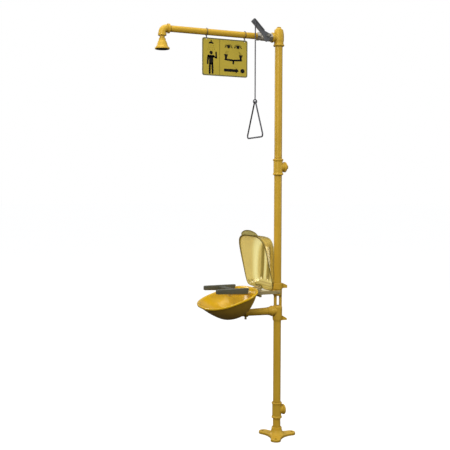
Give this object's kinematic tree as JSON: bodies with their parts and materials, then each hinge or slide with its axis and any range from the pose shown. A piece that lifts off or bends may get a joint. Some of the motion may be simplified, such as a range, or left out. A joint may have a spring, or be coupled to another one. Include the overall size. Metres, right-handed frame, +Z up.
{
  "type": "emergency safety shower",
  "caption": "Drench shower and eye/face wash on one floor-mounted standpipe, with pull handle, spray bowl, hinged dust cover, sign, supply and waste tees.",
  "frame": {"origin": "centre of the floor flange's underside, on the standpipe axis", "axes": "+Z up along the standpipe, -Y towards the user (shower arm and bowl), +Y towards the supply and waste outlets, +X on the side of the pull rod"},
  "size_m": [0.3804, 0.8223, 2.2914],
  "materials": {
    "yellow_coat": "glossy safety-yellow powder coat",
    "yellow_plastic": "glossy moulded safety-yellow plastic",
    "dark_plastic": "satin dark grey-green moulded plastic",
    "steel": "drawn stainless wire and fasteners",
    "lever_grey": "dark grey coated pressed steel",
    "valve_metal": "cast stainless valve metal",
    "nickel_brass": "satin nickel-plated brass",
    "stem_brass": "turned brass",
    "seal": "white sealing plastic",
    "rubber_seal": "black rubber",
    "sign_face": "glossy yellow sign plastic with black printing",
    "clear_yellow": "clear yellow-tinted moulded plastic"
  },
  "bodies": {
    "frame_body": {"floor_flange": "yellow_coat", "flange_nipple": "yellow_coat", "waste_tee": "yellow_coat", "waste_pipe": "yellow_coat", "yoke_casting": "yellow_coat", "supply_riser": "yellow_coat", "supply_tee": "yellow_coat", "shower_riser": "yellow_coat", "top_tee": "yellow_coat", "top_plug": "yellow_coat", "valve_nipple": "yellow_coat", "shower_valve_body": "valve_metal", "shower_valve_end": "valve_metal", "shower_valve_seats": "seal", "stem_packing_nut": "steel", "shower_arm": "yellow_coat", "arm_elbow": "yellow_coat", "head_nipple": "yellow_coat", "head_body": "yellow_plastic", "head_ring": "dark_plastic", "impeller_spindle": "steel", "bowl": "yellow_plastic", "drain_strainer": "steel", "strainer_screw": "steel", "drain_arm": "yellow_coat", "drain_gasket": "rubber_seal", "drain_slip_nut": "yellow_coat", "drain_thumb_screw": "steel", "eyewash_nipple": "nickel_brass", "eyewash_valve_body": "nickel_brass", "eyewash_valve_seats": "seal", "eyewash_supply_pipe": "nickel_brass", "bulkhead_nut": "nickel_brass", "eyewash_elbow": "nickel_brass", "spray_manifold": "dark_plastic", "spray_bar_left": "dark_plastic", "spray_bar_right": "dark_plastic", "hinge_bracket": "nickel_brass", "bracket_bolts": "steel", "hinge_pin": "steel"},
    "shower_lever_body": {"shower_lever": "lever_grey", "shower_valve_stem": "steel", "shower_valve_ball": "steel", "lever_nut": "steel"},
    "pull_rod_body": {"pull_rod": "steel", "rod_clip": "steel"},
    "pull_handle_body": {"pull_handle": "steel"},
    "impeller_body": {"head_impeller": "dark_plastic"},
    "sign_body": {"sign_plate": "sign_face", "sign_hangers": "steel"},
    "cover_body": {"dust_cover": "clear_yellow", "hinge_leaf": "steel", "leaf_screws": "steel"},
    "eyewash_stem_body": {"eyewash_stem": "steel", "eyewash_ball": "steel"},
    "link_body": {"link_bar": "steel"}
  },
  "joints": [
    {"name": "shower_lever_turn", "type": "hinge", "parent": "frame_body", "child": "shower_lever_body", "pos_m": [0, -0.088, 2.208], "axis": [1, 0, 0], "range_deg": [0, 90]},
    {"name": "pull_rod_swing", "type": "hinge", "parent": "shower_lever_body", "child": "pull_rod_body", "pos_m": [0, -0.1685, 2.2725], "axis": [1, 0, 0], "range_deg": [-92, 2]},
    {"name": "pull_handle_swing", "type": "hinge", "parent": "pull_rod_body", "child": "pull_handle_body", "pos_m": [0.056, -0.1685, 1.8494], "axis": [1, 0, 0], "range_deg": [-35, 35]},
    {"name": "head_impeller_spin", "type": "hinge", "parent": "frame_body", "child": "impeller_body", "pos_m": [0, -0.67, 2.115], "axis": [0, 0, 1], "continuous": true},
    {"name": "sign_swing", "type": "hinge", "parent": "frame_body", "child": "sign_body", "pos_m": [0, -0.3195, 2.208], "axis": [0, 1, 0], "range_deg": [-12, 12]},
    {"name": "dust_cover_turn", "type": "hinge", "parent": "frame_body", "child": "cover_body", "pos_m": [0, -0.1355, 0.8366], "axis": [1, 0, 0], "range_deg": [0, 94.7]},
    {"name": "eyewash_stem_turn", "type": "hinge", "parent": "frame_body", "child": "eyewash_stem_body", "pos_m": [0, -0.078, 0.817], "axis": [1, 0, 0], "range_deg": [-1, 96]},
    {"name": "link_bar_swing", "type": "hinge", "parent": "eyewash_stem_body", "child": "link_body", "pos_m": [0.0213, -0.09398, 0.81119], "axis": [1, 0, 0], "range_deg": [-96, 1]}
  ],
  "couplings": [
    {"joint": "pull_rod_swing", "follows": "shower_lever_turn", "ratio": -1},
    {"joint": "eyewash_stem_turn", "follows": "dust_cover_turn", "ratio": 1},
    {"joint": "link_bar_swing", "follows": "dust_cover_turn", "ratio": -1}
  ]
}
